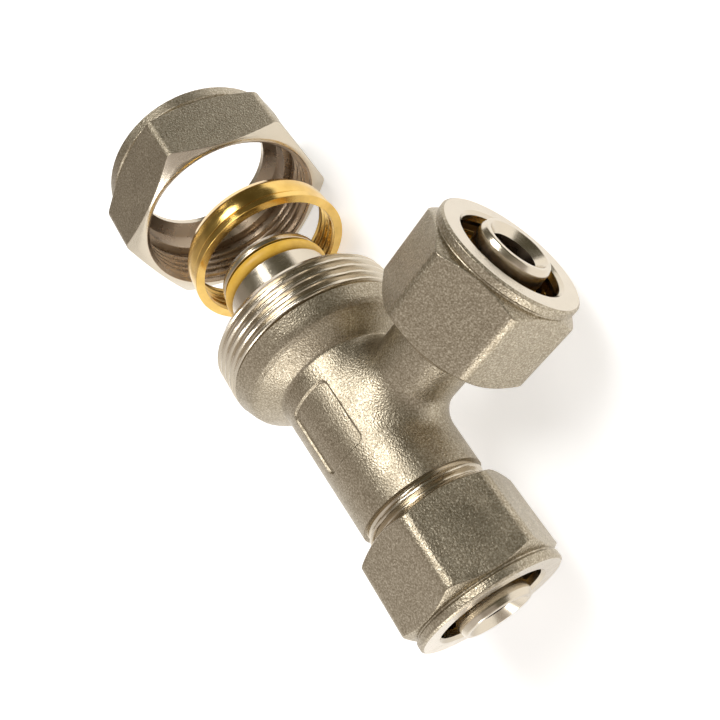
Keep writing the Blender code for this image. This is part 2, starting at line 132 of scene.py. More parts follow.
def reach(end, node):
    """Lowest and highest height of a CAD node along an end's axis."""
    turn = WAY_OUT[end["name"]][0]
    low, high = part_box(node)
    heights = [(turn.transposed() @ (corner / MM - ANCHOR)).z for corner in (low, high)]
    return min(heights), max(heights)


def aside(end, node):
    """How far off the end's axis a CAD node stands, in the frame's directions."""
    off = middle(node) - ANCHOR
    out = WAY_OUT[end["name"]][0] @ Vector((0.0, 0.0, 1.0))
    return off - out * off.dot(out)


for end in ENDS:
    name = end["name"]
    end["nut_low"], end["nut_high"] = reach(end, name + "_nut")
    end["ring_low"], end["ring_high"] = reach(end, name + "_split_ring")
    end["washer_low"], end["washer_high"] = reach(end, name + "_insulating_washer")
    end["seals"] = [sum(reach(end, name + "_" + which + "_o_ring")) / 2
                    for which in ("inner", "outer")]
    end["nipple_end"] = reach(end, "tee_body")[1]


# ---- materials ---------------------------------------------------------------
def shader_of(name, color, rough, metal):
    mat = bpy.data.materials.new(name)
    mat.use_nodes = True
    shader = mat.node_tree.nodes["Principled BSDF"]
    shader.inputs["Base Color"].default_value = (*color, 1.0)
    shader.inputs["Roughness"].default_value = rough
    shader.inputs["Metallic"].default_value = metal
    return mat, mat.node_tree.nodes, mat.node_tree.links, shader


def noise(nodes, links, source, scale, detail, rough=0.5):
    node = nodes.new("ShaderNodeTexNoise")
    node.inputs["Scale"].default_value = scale
    node.inputs["Detail"].default_value = detail
    node.inputs["Roughness"].default_value = rough
    links.new(source, node.inputs["Vector"])
    return node.outputs["Fac"]


def ramp(nodes, links, source, stops):
    node = nodes.new("ShaderNodeValToRGB")
    bar = node.color_ramp
    bar.elements[0].position, bar.elements[0].color = stops[0][0], (*stops[0][1], 1.0)
    bar.elements[1].position, bar.elements[1].color = stops[-1][0], (*stops[-1][1], 1.0)
    for place, color in stops[1:-1]:
        bar.elements.new(place).color = (*color, 1.0)
    links.new(source, node.inputs["Fac"])
    return node.outputs["Color"]


def spread(nodes, links, source, low, high):
    node = nodes.new("ShaderNodeMapRange")
    node.inputs["From Min"].default_value = 0.3
    node.inputs["From Max"].default_value = 0.7
    node.inputs["To Min"].default_value = low
    node.inputs["To Max"].default_value = high
    links.new(source, node.inputs["Value"])
    return node.outputs["Result"]


def bump(nodes, links, height, strength, distance, below=None):
    node = nodes.new("ShaderNodeBump")
    node.inputs["Strength"].default_value = strength
    node.inputs["Distance"].default_value = distance
    links.new(height, node.inputs["Height"])
    if below is not None:
        links.new(below, node.inputs["Normal"])
    return node.outputs["Normal"]


def blasted_nickel():
    """Shot-blasted nickel plate: fine pits, a soft sheen, slightly uneven tone."""
    mat, nodes, links, shader = shader_of("nickel_blasted", (0.42, 0.365, 0.275), 0.4, 1.0)
    place = nodes.new("ShaderNodeTexCoord").outputs["Object"]
    cloud = noise(nodes, links, place, 260.0, 3.0)
    grain = noise(nodes, links, place, 3800.0, 2.0, 0.6)
    pits = nodes.new("ShaderNodeTexVoronoi")
    pits.inputs["Scale"].default_value = 3300.0
    links.new(place, pits.inputs["Vector"])
    tone = ramp(nodes, links, grain, [(0.34, (0.28, 0.235, 0.165)),
                                      (0.52, (0.405, 0.35, 0.26)),
                                      (0.7, (0.62, 0.56, 0.44))])
    links.new(tone, shader.inputs["Base Color"])
    links.new(spread(nodes, links, cloud, 0.34, 0.46), shader.inputs["Roughness"])
    coarse = bump(nodes, links, pits.outputs["Distance"], 0.55, 0.00006)
    links.new(bump(nodes, links, grain, 0.6, 0.00007, coarse), shader.inputs["Normal"])
    return mat


def machined_nickel(name, color, rough):
    """Nickel plate over a turned face: fine rings that follow the lathe tool."""
    mat, nodes, links, shader = shader_of(name, color, rough, 1.0)
    way = nodes.new("ShaderNodeAttribute")
    way.attribute_name = "tool_path"
    rings = nodes.new("ShaderNodeTexNoise")
    rings.noise_dimensions = "1D"
    rings.inputs["Scale"].default_value = 9.0
    rings.inputs["Detail"].default_value = 3.0
    links.new(way.outputs["Fac"], rings.inputs["W"])
    place = nodes.new("ShaderNodeTexCoord").outputs["Object"]
    cloud = noise(nodes, links, place, 420.0, 2.0)
    links.new(spread(nodes, links, cloud, rough - 0.05, rough + 0.06),
              shader.inputs["Roughness"])
    links.new(bump(nodes, links, rings.outputs["Fac"], 0.35, 0.00002),
              shader.inputs["Normal"])
    return mat


def polished_brass():
    """Bare turned brass, a little uneven in tone and gloss."""
    mat, nodes, links, shader = shader_of("ring_brass", (0.72, 0.48, 0.15), 0.14, 1.0)
    place = nodes.new("ShaderNodeTexCoord").outputs["Object"]
    cloud = noise(nodes, links, place, 300.0, 3.0)
    tone = ramp(nodes, links, cloud, [(0.3, (0.64, 0.41, 0.11)), (0.7, (0.80, 0.55, 0.18))])
    links.new(tone, shader.inputs["Base Color"])
    links.new(spread(nodes, links, cloud, 0.1, 0.2), shader.inputs["Roughness"])
    way = nodes.new("ShaderNodeAttribute")
    way.attribute_name = "tool_path"
    rings = nodes.new("ShaderNodeTexNoise")
    rings.noise_dimensions = "1D"
    rings.inputs["Scale"].default_value = 7.0
    links.new(way.outputs["Fac"], rings.inputs["W"])
    links.new(bump(nodes, links, rings.outputs["Fac"], 0.25, 0.00002),
              shader.inputs["Normal"])
    return mat


def soft_material(name, dark, light, rough, grain_scale):
    """Rubber or plastic with a fine, low grain."""
    mat, nodes, links, shader = shader_of(name, light, rough, 0.0)
    place = nodes.new("ShaderNodeTexCoord").outputs["Object"]
    grain = noise(nodes, links, place, grain_scale, 3.0)
    links.new(ramp(nodes, links, grain, [(0.3, dark), (0.7, light)]),
              shader.inputs["Base Color"])
    links.new(spread(nodes, links, grain, rough - 0.08, rough + 0.08),
              shader.inputs["Roughness"])
    links.new(bump(nodes, links, grain, 0.2, 0.00003), shader.inputs["Normal"])
    return mat


BLASTED = blasted_nickel()
TURNED = machined_nickel("nickel_machined", (0.60, 0.535, 0.43), 0.2)
# Darker, warmer nickel for bores, sockets, passages and nut insides: partly brass showing
# under the plating, partly painted shade of the recesses and a painted reflection of the
# brass ring.
BORE_TINT_AND_SHADE = machined_nickel("nickel_bore_tint_and_shade", (0.36, 0.28, 0.20), 0.28)
BRASS = polished_brass()
RUBBER = soft_material("seal_rubber", (0.80, 0.46, 0.05), (0.92, 0.57, 0.08), 0.42, 700.0)
WHITE = soft_material("washer_ptfe", (0.78, 0.78, 0.75), (0.88, 0.88, 0.86), 0.5, 900.0)
BLAST, FINE, DARK = 0, 1, 2   # material numbers on a metal piece; DARK is the bore nickel, darkened partly as painted shade


# ---- outlines and surfaces ---------------------------------------------------
def outline(corners, closed=False):
    """Points of an outline with rounded corners, and a material for each stretch.

    A corner is (radius, height, rounding, material of the stretch after it).
    Two points close to each rounding keep the flat stretches flat.
    """
    points, bands = [], []
    count = len(corners)
    for index, (r, h, rounding, band) in enumerate(corners):
        here = np.array((r, h))
        inside = closed or 0 < index < count - 1
        if not inside or rounding <= 0:
            points.append(here)
            bands.append(band)
            continue
        before = np.array(corners[index - 1][:2]) - here
        after = np.array(corners[(index + 1) % count][:2]) - here
        room = 0.42 * min(np.linalg.norm(before), np.linalg.norm(after))
        before /= np.linalg.norm(before)
        after /= np.linalg.norm(after)
        half = 0.5 * math.acos(max(-1.0, min(1.0, float(before @ after))))
        cut = min(rounding / math.tan(half), room)
        radius = cut * math.tan(half)
        bend = math.pi - 2 * half
        centre = here + (before + after) / np.linalg.norm(before + after) \
            * (radius / math.sin(half))
        start = here + before * cut - centre
        turn = 1.0 if before[0] * after[1] - before[1] * after[0] < 0 else -1.0
        steps = max(2, int(math.ceil(bend / math.radians(18))))
        pad = min(0.05, 0.2 * cut)
        band_before = corners[index - 1][3]
        points.append(here + before * (cut + pad))
        bands.append(band_before)
        for step in range(steps + 1):
            angle = turn * bend * step / steps
            c, s = math.cos(angle), math.sin(angle)
            spot = centre + np.array((c * start[0] - s * start[1],
                                      s * start[0] + c * start[1]))
            points.append(spot)
            bands.append(band_before if step < steps / 2 else band)
        points.append(here + after * (cut + pad))
        bands.append(band)
    return np.array(points), bands


def turned_rows(points, columns):
    """Rows of a turned surface: every angle has the same radius and height."""
    return np.repeat(np.asarray(points)[:, None, :], columns, axis=1)


class Piece:
    """Rows of points gathered into one mesh, in an end's own frame."""

    def __init__(self, end, angles=None):
        self.end = end
        if angles is None:
            angles = TURN * np.arange(end["columns"]) / end["columns"]
        self.angles = angles
        self.rows = []
        self.bands = []

    def add(self, rows, bands):
        """Rows that go on from those so far; a band is the stretch after a row."""
        self.rows.append(np.asarray(rows))
        self.bands += list(bands)

    def turn(self, corners):
        points, bands = outline(corners)
        self.add(turned_rows(points, len(self.angles)), bands)

    def build(self, name, slots, wrap=True, closed=False, shift=None):
        rows = np.concatenate(self.rows)
        count, columns = rows.shape[:2]
        radius, height = rows[..., 0], rows[..., 1]
        spots = np.stack([radius * np.cos(self.angles), radius * np.sin(self.angles),
                          height], axis=-1)
        last = columns if wrap else columns - 1
        row_pairs = [(i, i + 1) for i in range(count - 1)]
        if closed:
            row_pairs.append((count - 1, 0))
        faces, numbers = [], []
        for low, high in row_pairs:
            for col in range(last):
                beside = (col + 1) % columns
                faces.append((low * columns + col, low * columns + beside,
                              high * columns + beside, high * columns + col))
            numbers += [self.bands[low]] * last
        if not wrap:
            faces.append(tuple(i * columns for i in range(count)))
            faces.append(tuple(i * columns + columns - 1
                               for i in reversed(range(count))))
            numbers += [self.bands[0]] * 2
        steps = np.zeros((count, columns))
        steps[1:] = np.cumsum(np.linalg.norm(np.diff(rows, axis=0), axis=2), axis=0)
        obj = mesh_object(name, spots.reshape(-1, 3), faces, self.end, shift)
        path = obj.data.attributes.new("tool_path", "FLOAT", "POINT")
        path.data.foreach_set("value", np.ascontiguousarray(
            steps.reshape(-1), dtype=np.float32))
        for mat in slots:
            obj.data.materials.append(mat)
        obj.data.polygons.foreach_set("material_index", numbers)
        return obj


def mesh_object(name, spots, faces, end, shift=None):
    """A smooth mesh object from points in an end's frame, laid along its axis."""
    turn = np.array(WAY_OUT[end["name"]][0])
    move = np.array(ANCHOR) + (np.array(shift) if shift is not None else 0.0)
    world = (np.asarray(spots) @ turn.T + move) * MM
    mesh = bpy.data.meshes.new(name)
    mesh.from_pydata(world.tolist(), [], faces)
    mesh.polygons.foreach_set("use_smooth", [True] * len(mesh.polygons))
    mesh.set_sharp_from_angle(angle=SHARP_ANGLE)
    mesh.update()
    obj = bpy.data.objects.new(name, mesh)
    bpy.context.scene.collection.objects.link(obj)
    return obj


def own_angle(end, degrees):
    _, sign, offset = WAY_OUT[end["name"]]
    return math.radians(sign * degrees + offset)


def crest(end, heights, angles):
    """1 on a thread's crest and 0 in its root, for a right-hand helix."""
    begin = end["thread_start"] + THREAD_START_TURN * PITCH
    phase = (heights - begin) / PITCH - angles / TURN
    away = np.abs(phase - np.round(phase)) * 2.0
    slope = np.clip((0.86 - away) / 0.66, 0.0, 1.0)
    return slope * slope * (3.0 - 2.0 * slope) * 0.35 + slope * 0.65


def thread_rows(end, low, high, angles, outer_r, shape):
    """Rows across a thread.  `shape` may trim the radius at a height."""
    count = max(2, int(math.ceil((high - low) / PITCH * THREAD_ROWS)))
    heights = np.linspace(low, high, count + 1)
    grid = np.repeat(heights[:, None], len(angles), axis=1)
    radius = outer_r - end["thread_depth"] * (1.0 - crest(end, grid, angles[None, :]))
    radius = shape(radius, grid)
    return np.stack([radius, grid], axis=-1)


# ---- nuts --------------------------------------------------------------------
def hex_radius(end, angles):
    """Radius of the rounded hexagon at each angle; a corner lies at hex_phase."""
    flat = end["hex_af"] / 2
    rho = end["hex_corner"]
    from_corner = (angles - own_angle(end, end["hex_phase"]) + math.pi / 6) \
        % (math.pi / 3) - math.pi / 6
    from_flat = math.pi / 6 - np.abs(from_corner)
    straight = flat / np.cos(from_flat)
    centre = (flat - rho) / math.cos(math.pi / 6)
    root = np.maximum(rho ** 2 - (centre * np.sin(from_corner)) ** 2, 0.0)
    arc = centre * np.cos(from_corner) + np.sqrt(root)
    edge = math.atan2((flat - rho) * math.tan(math.pi / 6), flat)
    return np.where(from_flat <= edge, straight, arc)


def hex_angles(end):
    """Angles round a nut, closer together on its rounded corners."""
    flat = end["hex_af"] / 2
    rho = end["hex_corner"]
    edge = math.pi / 6 - math.atan2((flat - rho) * math.tan(math.pi / 6), flat)
    offsets = list(np.linspace(-edge, edge, 9))
    offsets += [edge * 1.1, -edge * 1.1]
    offsets += list(np.linspace(edge * 1.6, math.pi / 3 - edge * 1.6, 11))
    corner = own_angle(end, end["hex_phase"])
    angles = [corner + offset + side * math.pi / 3
              for side in range(6) for offset in offsets]
    return np.sort(np.mod(np.array(angles), TURN))


def soft_min(one, other, blend):
    gap = np.clip(0.5 + 0.5 * (other - one) / blend, 0.0, 1.0)
    return other * (1.0 - gap) + one * gap - blend * gap * (1.0 - gap)


def hex_rows(end, angles):
    """Outside of the hexagon, between its two turned chamfers."""
    low = end["nut_low"]
    groove = low + end["collar_start"] - 0.1
    hexagon = hex_radius(end, angles)
    corner_r = end["hex_af"] / math.sqrt(3.0) + 0.2
    rise = (corner_r - end["rim_r"]) / end["chamfer_in"]
    fall = (corner_r - end["groove_r"]) / (groove - low - end["chamfer_out"])
    lower = low + (hexagon - end["rim_r"]) / rise
    upper = groove - (hexagon - end["groove_r"]) / fall
    blend = end["edge_blend"]
    spots = [np.full_like(lower, low), low + 0.45 * (lower - low)]
    bands = [FINE, FINE]
    near = (-2.6, -1.7, -0.9, 0.0, 0.9, 1.7, 2.6)
    for step in near:
        spots.append(np.maximum(lower + step * blend * 0.5, low + 0.03 + 0.01 * step))
        bands.append(FINE if step < 0 else BLAST)
    for share in (0.2, 0.4, 0.6, 0.8):
        spots.append(lower + share * (upper - lower))
        bands.append(BLAST)
    for step in near:
        spots.append(upper + step * blend * 0.5)
        bands.append(BLAST)
    spots.append(0.5 * (upper + 1.5 * blend) + 0.5 * groove)
    bands.append(BLAST)
    heights = np.sort(np.array(spots), axis=0)
    cone_in = end["rim_r"] + rise * (heights - low)
    cone_out = end["groove_r"] + fall * (groove - heights)
    radius = soft_min(np.broadcast_to(hexagon, heights.shape), cone_in, blend)
    radius = soft_min(radius, cone_out, blend)
    return np.stack([radius, heights], axis=-1), bands


def make_nut(end):
    name = end["name"]
    low, high = end["nut_low"], end["nut_high"]
    angles = hex_angles(end)
    piece = Piece(end, angles)
    rows, bands = hex_rows(end, angles)
    piece.add(rows, bands)
    collar = low + end["collar_start"]
    bore = end["pipe_bore_r"]
    seat = end["ring_r"] + 0.3
    relief = end["thread_r"] + THREAD_GAP + 0.1
    thread_top = low + end["thread_cut"]
    lip_low = high - end["lip"]
    piece.turn([
        (end["groove_r"] - 0.02, collar - 0.08, 0, BLAST),
        (end["groove_r"] - 0.08, collar + 0.12, 0.15, BLAST),
        (end["collar_r"], collar + 0.42, 0.2, BLAST),
        (end["collar_r"], high - 0.28, 0.16, BLAST),
        (end["collar_r"] - 0.35, high, 0.1, FINE),
        (bore + 0.5, high, 0.12, FINE),
        (bore, high - 0.45, 0.1, FINE),
        (bore, lip_low, 0.15, DARK),
        (seat, lip_low - (seat - bore), 0.1, DARK),
        (seat, thread_top + 1.4, 0.1, DARK),
        (relief, thread_top + 1.0, 0.1, DARK),
        (relief, thread_top, 0, DARK)])
    chamfer = low + 1.0

    def flare(radius, heights):
        bell = relief - (heights - low) / (chamfer - low) * end["thread_depth"] * 1.2
        return np.maximum(radius, bell)

    inner = thread_rows(end, low + 0.02, thread_top - 0.1, angles,
                        end["thread_r"] + THREAD_GAP, flare)[::-1]
    piece.add(inner, [DARK] * len(inner))
    piece.turn([(relief + 0.05, low, 0, FINE), (end["rim_r"] - 0.1, low, 0, FINE)])
    nut = piece.build(name + "_nut_shell", [BLASTED, TURNED, BORE_TINT_AND_SHADE], closed=True)
    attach(nut, name + "_nut")
    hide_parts(name + "_nut")


# ---- rings, washers and seals ------------------------------------------------
def make_ring(end):
    name = end["name"]
    low, high = end["ring_low"], end["ring_high"]
    bore, barrel, flange = end["ring_bore_r"], end["ring_barrel_r"], end["ring_r"]
    half_gap = math.asin(end["ring_gap"] / 2 / end["ring_r"])
    middle_of_gap = own_angle(end, end["ring_gap_phase"])
    angles = middle_of_gap + np.linspace(half_gap, TURN - half_gap, end["columns"])
    piece = Piece(end, angles)
    length = high - low
    crown = 0.3 * (flange - barrel)
    corners = [
        (bore + 0.15, low, 0.1, 0), (flange, low, 0.1, 0),
        (flange, low + 0.18 * length, 0.08, 0),
        (barrel - 0.25, low + 0.2 * length, 0.06, 0),
        (barrel - 0.25, low + 0.255 * length, 0.06, 0),
        (barrel - 0.05, low + 0.28 * length, 0.1, 0),
        (barrel + crown, low + 0.5 * length, 4.0, 0),
        (barrel - 0.05, low + 0.76 * length, 1.0, 0),
        (barrel - end["ring_taper"], high - 0.12, 0.1, 0),
        (barrel - end["ring_taper"] - 0.1, high, 0.05, 0),
        (bore + 0.12, high, 0.05, 0)]
    ridges = 4 * end["ring_ridges"]
    for index in range(ridges):
        share = (index + 0.5) / ridges
        wave = 0.32 if index % 2 == 0 else 0.0
        corners.append((bore + wave, high - share * (length - 0.6) - 0.3, 0.18, 0))
    points, bands = outline(corners, closed=True)
    piece.add(turned_rows(points, len(angles)), bands)
    ring = piece.build(name + "_ring", [BRASS], wrap=False, closed=True,
                       shift=aside_of_ring(end))
    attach(ring, name + "_ring")
    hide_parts(name + "_split_ring")


def aside_of_ring(end):
    """The open ring lies off the axis; the box middle gives how far."""
    return aside(end, end["name"] + "_split_ring") if end is LARGE else None


def make_washer(end):
    name = end["name"]
    low, high = end["washer_low"], end["washer_high"]
    inner, outer = end["nipple_r"] + 0.3, end["socket_r"] - 0.3
    piece = Piece(end)
    points, bands = outline([(inner, low, 0.15, 0), (outer, low, 0.15, 0),
                             (outer, high, 0.15, 0), (inner, high, 0.15, 0)],
                            closed=True)
    piece.add(turned_rows(points, len(piece.angles)), bands)
    washer = piece.build(name + "_washer_disc", [WHITE], closed=True)
    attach(washer, name + "_washer")
    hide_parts(name + "_insulating_washer")


def make_seal(end, index, which):
    name = end["name"]
    section = TURN * np.arange(24) / 24 - math.pi / 2
    centre = end["nipple_r"] + end["seal_stand"] - end["seal_half_depth"]
    points = np.stack([
        centre + end["seal_half_depth"] * 0.98 * np.cos(section),
        end["seals"][index] + end["seal_half_width"] * 0.98 * np.sin(section)], axis=1)
    piece = Piece(end)
    piece.add(turned_rows(points, len(piece.angles)), [0] * len(points))
    seal = piece.build(name + "_" + which + "_seal", [RUBBER], closed=True)
    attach(seal, "tee")
    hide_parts(name + "_" + which + "_o_ring")


# ---- tee body ----------------------------------------------------------------
def end_surface(end):
    """Thread, end face, socket and nipple of one end, down to its bore."""
    piece = Piece(end)
    start, top = end["thread_start"], end["thread_end"]
    drop, run = end["end_chamfer"]
    root = end["thread_r"] - end["thread_depth"]
    if end is BRANCH:
        piece.turn([(NECK_R, NECK_STEP - 0.2, 0, BLAST), (NECK_R, NECK_STEP, 0.4, FINE),
                    (root, start, 0, FINE)])
    else:
        piece.turn([(end["base_r"], start, 0, BLAST), (root + 0.4, start, 0, FINE)])

    def trim(radius, heights):
        cone = end["thread_r"] - drop * (heights - (top - run)) / run
        fade = np.clip((heights - start) / 0.5, 0.0, 1.0)
        return root + (np.minimum(radius, cone) - root) * fade

    rows = thread_rows(end, start + 0.02, top - 0.06, piece.angles, end["thread_r"], trim)
    piece.add(rows, [FINE] * len(rows))
    mouth = end["socket_r"] + end["socket_cone"]
    side, bottom = end["nipple_r"], end["socket_bottom"]
    floor = side + end["seal_stand"] - 2 * end["seal_half_depth"] - 0.25
    half = end["seal_half_width"] + 0.25
    corners = [
        (end["thread_r"] - drop - 0.08, top, 0, FINE),
        (mouth, top, 0.1, FINE),
        (end["socket_r"], top - end["socket_cone"], 0.2, FINE),
        (end["socket_r"], bottom, 0.2, DARK), (side, bottom, 0.2, FINE)]
    for place in sorted(end["seals"]):
        corners += [(side, place - half, 0.1, FINE), (floor, place - half, 0.1, FINE),
                    (floor, place + half, 0.1, FINE), (side, place + half, 0.1, FINE)]
    nose, tip = end["nipple_nose"], end["nipple_end"]
    lead = end["nose_chamfer"]
    corners += [
        (side, tip - nose, 0.5, FINE), (side - 0.45 * nose, tip, 0.3, FINE),
        (end["flow_r"] + lead, tip, 0.12, FINE),
        (end["flow_r"], tip - lead, 0, DARK)]
    piece.turn(corners)
    return piece.build(end["name"] + "_spigot", [BLASTED, TURNED, BORE_TINT_AND_SHADE])


def passages():
    """Walls of the flow passages, looking inwards."""
    def core(name, points, end):
        piece = Piece(end)
        # the passage walls take the bore nickel, darkened partly as painted shade
        piece.turn([(r, h, 0, DARK) for r, h in points])
        tube = piece.build(name, [BLASTED, TURNED, BORE_TINT_AND_SHADE])
        bm = bmesh.new()
        bm.from_mesh(tube.data)
        ends = [edge for edge in bm.edges if edge.is_boundary]
        bmesh.ops.holes_fill(bm, edges=ends, sides=0)
        bmesh.ops.recalc_face_normals(bm, faces=bm.faces)
        bm.to_mesh(tube.data)
        bm.free()
        return tube

    wide, fine = LARGE["flow_r"], RUN["flow_r"]
    far = LARGE["nipple_end"] - LARGE["nose_chamfer"]
    run_core = core("run_core", [
        (fine, RUN["nipple_end"] - RUN["nose_chamfer"]), (fine, wide + 2.0),
        (wide, wide - 1.0), (wide, -far)][::-1], RUN)
    branch_core = core("branch_core", [
        (fine, 0.0), (fine, BRANCH["nipple_end"] - BRANCH["nose_chamfer"])], BRANCH)
    union = run_core.modifiers.new("branch", "BOOLEAN")
    union.operation = "UNION"
    union.solver = "EXACT"
    union.object = branch_core
    bpy.context.view_layer.update()
    shape = run_core.evaluated_get(bpy.context.evaluated_depsgraph_get())
    mesh = bpy.data.meshes.new_from_object(shape)
    bm = bmesh.new()
    bm.from_mesh(mesh)
    lids = [face for face in bm.faces if len(face.verts) > 40]
    bmesh.ops.delete(bm, geom=lids, context="FACES")
    bmesh.ops.reverse_faces(bm, faces=bm.faces)
    bm.to_mesh(mesh)
    bm.free()
    for tool in (run_core, branch_core):
        bpy.data.objects.remove(tool)
    obj = bpy.data.objects.new("flow_passages", mesh)
    bpy.context.scene.collection.objects.link(obj)
    return obj


def run_profile():
    """Radius against place along the run, from the shoulder to the 16 mm thread."""
    edge, top = -LARGE["thread_start"], RUN["thread_start"]
    points, _ = outline([
        (SHOULDER_R + 0.3, edge - 0.8, 0, 0), (SHOULDER_KNEE[0], SHOULDER_KNEE[1], 3.0, 0),
        (TUBE_R_LARGE, -SHOULDER_FOOT, 0.7, 0), (TUBE_R_SMALL, top, 0, 0),
        (TUBE_R_SMALL, top + 0.8, 0, 0)])
    return points


def polyline_distance(along, radius, corners):
    """Signed distance to the run's outline; inside is negative."""
    best = np.full(len(along), 1e9)
    for (r0, x0), (r1, x1) in zip(corners, corners[1:]):
        dr, dx = r1 - r0, x1 - x0
        share = np.clip(((along - x0) * dx + (radius - r0) * dr)
                        / (dx * dx + dr * dr), 0.0, 1.0)
        best = np.minimum(best, np.hypot(along - x0 - share * dx,
                                         radius - r0 - share * dr))
    edge = np.interp(along, corners[:, 1], corners[:, 0])
    return np.where(radius < edge, -best, best)


RUN_PROFILE = run_profile()


def forging_distance(spots):
    """Signed distance to the blasted forging, in millimetres from the crossing."""
    x, y, z = spots.T
    run = polyline_distance(x, np.hypot(y, z), RUN_PROFILE)
    neck = np.maximum(np.hypot(x, z) - NECK_R, -y)
    reach_one = np.maximum(NECK_FILLET - run, 0.0)
    reach_two = np.maximum(NECK_FILLET - neck, 0.0)
    shape = np.maximum(NECK_FILLET, np.minimum(run, neck)) \
        - np.hypot(reach_one, reach_two)
    across = np.arctan2(y, z) * TUBE_R_SMALL
    beyond_x = np.abs(x) - LABEL_LENGTH / 2 + LABEL_CORNER
    beyond_y = np.abs(across) - LABEL_WIDTH / 2 + LABEL_CORNER
    edge = np.hypot(np.maximum(beyond_x, 0.0), np.maximum(beyond_y, 0.0)) \
        + np.minimum(np.maximum(beyond_x, beyond_y), 0.0) - LABEL_CORNER
    share = np.clip(0.5 - edge / LABEL_WALL, 0.0, 1.0)
    depth = LABEL_DEPTH * (1.1 + 0.5 * across / LABEL_WIDTH)
    return shape + depth * share * share * (3.0 - 2.0 * share) * (z > 0)


def settle(bm, rounds):
    """Moves every vertex onto the forging's surface."""
    spots = np.array([vert.co for vert in bm.verts]) / MM - np.array(ANCHOR)
    small = 0.01
    for _ in range(rounds):
        value = forging_distance(spots)
        slope = np.stack([
            (forging_distance(spots + small * axis) - forging_distance(spots - small * axis))
            / (2 * small) for axis in np.eye(3)], axis=1)
        size = np.maximum((slope ** 2).sum(axis=1), 0.2)
        spots -= np.clip(value / size, -0.5, 0.5)[:, None] * slope
    for vert, spot in zip(bm.verts, (spots + np.array(ANCHOR)) * MM):
        vert.co = spot


def sharpen_panel(bm):
    """Finer mesh over the edge of the blank panel."""
    half_x, half_y = LABEL_LENGTH / 2, LABEL_WIDTH / 2
    near = []
    for edge in bm.edges:
        spot = (edge.verts[0].co + edge.verts[1].co) / 2 / MM - ANCHOR
        across = math.atan2(spot.y, spot.z) * TUBE_R_SMALL
        x_off, y_off = abs(spot.x) - half_x, abs(across) - half_y
        if spot.z > 0 and max(x_off, y_off) < 0.5 and max(x_off, y_off) > -0.9:
            near.append(edge)
    bmesh.ops.subdivide_edges(bm, edges=near, cuts=2, use_grid_fill=True)


def make_forging(voxel):
    """The blasted tee: run tube, shoulder dome, branch neck and blank panel."""
    axis = dict(LARGE, columns=96, name="run")
    piece = Piece(axis)
    piece.turn([(0.01, RUN_PROFILE[0][1], 0, 0)]
               + [(r, x, 0, 0) for r, x in RUN_PROFILE]
               + [(0.01, RUN_PROFILE[-1][1], 0, 0)])
    hull = piece.build("forging_hull", [BLASTED])
    neck = Piece(dict(BRANCH, columns=96))
    neck.turn([(0.01, 1.0, 0, 0), (NECK_R, 1.0, 0, 0), (NECK_R, NECK_STEP + 0.8, 0, 0),
               (0.01, NECK_STEP + 0.8, 0, 0)])
    branch = neck.build("forging_neck", [BLASTED])
    bm = bmesh.new()
    bm.from_mesh(hull.data)
    bm.from_mesh(branch.data)
    bmesh.ops.remove_doubles(bm, verts=bm.verts, dist=0.00003)
    bm.to_mesh(hull.data)
    bm.free()
    bpy.data.objects.remove(branch)
    skin = hull.modifiers.new("skin", "REMESH")
    skin.mode = "VOXEL"
    skin.voxel_size = voxel * MM
    bpy.context.view_layer.update()
    shape = hull.evaluated_get(bpy.context.evaluated_depsgraph_get())
    mesh = bpy.data.meshes.new_from_object(shape)
    bpy.data.objects.remove(hull)
    bm = bmesh.new()
    bm.from_mesh(mesh)
    settle(bm, 3)
    sharpen_panel(bm)
    settle(bm, 3)
    for axis_out, height in (((-1, 0, 0), LARGE["thread_start"]),
                             ((1, 0, 0), RUN["thread_start"]),
                             ((0, 1, 0), NECK_STEP - 0.2)):
        out = Vector(axis_out)
        bmesh.ops.bisect_plane(
            bm, geom=bm.verts[:] + bm.edges[:] + bm.faces[:], dist=0.000001,
            plane_co=(ANCHOR + out * height) * MM, plane_no=out, clear_outer=True)
    bm.to_mesh(mesh)
    bm.free()
    mesh.polygons.foreach_set("use_smooth", [True] * len(mesh.polygons))
    mesh.materials.clear()
    mesh.materials.append(BLASTED)
    obj = bpy.data.objects.new("forging", mesh)
    bpy.context.scene.collection.objects.link(obj)
    return obj


def make_tee():
    made = [make_forging(VOXEL_FULL), passages()]
    made += [end_surface(end) for end in ENDS]
    for obj in made:
        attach(obj, "tee")
        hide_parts("tee_body")


# ---- stage, light and camera -------------------------------------------------
DIM_SIDE = (-0.505, 0.807, 0.303)   # towards the dark end of the studio
LIGHT_TARGET = (0.0, 0.0, 0.02)     # metres
FLOOR_SIZE = 6.0                    # metres
FLOOR_BELOW = 0.00002               # floor under the model, metres
FLOOR_GLOW = 0.5
RIPPLE = (1.2, -0.6)                # scale and offset of the studio's unevenness
CAMERA_PLACE = (53.51, 70.80, 96.82)   # from the crossing, in millimetres
CAMERA_RIGHT = (0.50256, 0.53110, -0.68218)
CAMERA_UP = (-0.72594, 0.68776, 0.00065)
CAMERA_BACK = (0.46952, 0.49489, 0.73118)
CAMERA_LENS = 41.775
CAMERA_SHIFT = (-0.0019, 0.0006)


def make_stage():
    bpy.ops.mesh.primitive_plane_add(size=FLOOR_SIZE,
                                     location=(0, 0, CAD_LOW.z - FLOOR_BELOW))
    floor = bpy.context.object
    floor.name = "floor"
    mat, nodes, links, shader = shader_of("pale_floor", (0.93, 0.93, 0.93), 0.9, 0.0)
    shader.inputs["Specular IOR Level"].default_value = 0.0
    shader.inputs["Emission Color"].default_value = (1.0, 1.0, 1.0, 1.0)
    shader.inputs["Emission Strength"].default_value = FLOOR_GLOW
    floor.data.materials.append(mat)


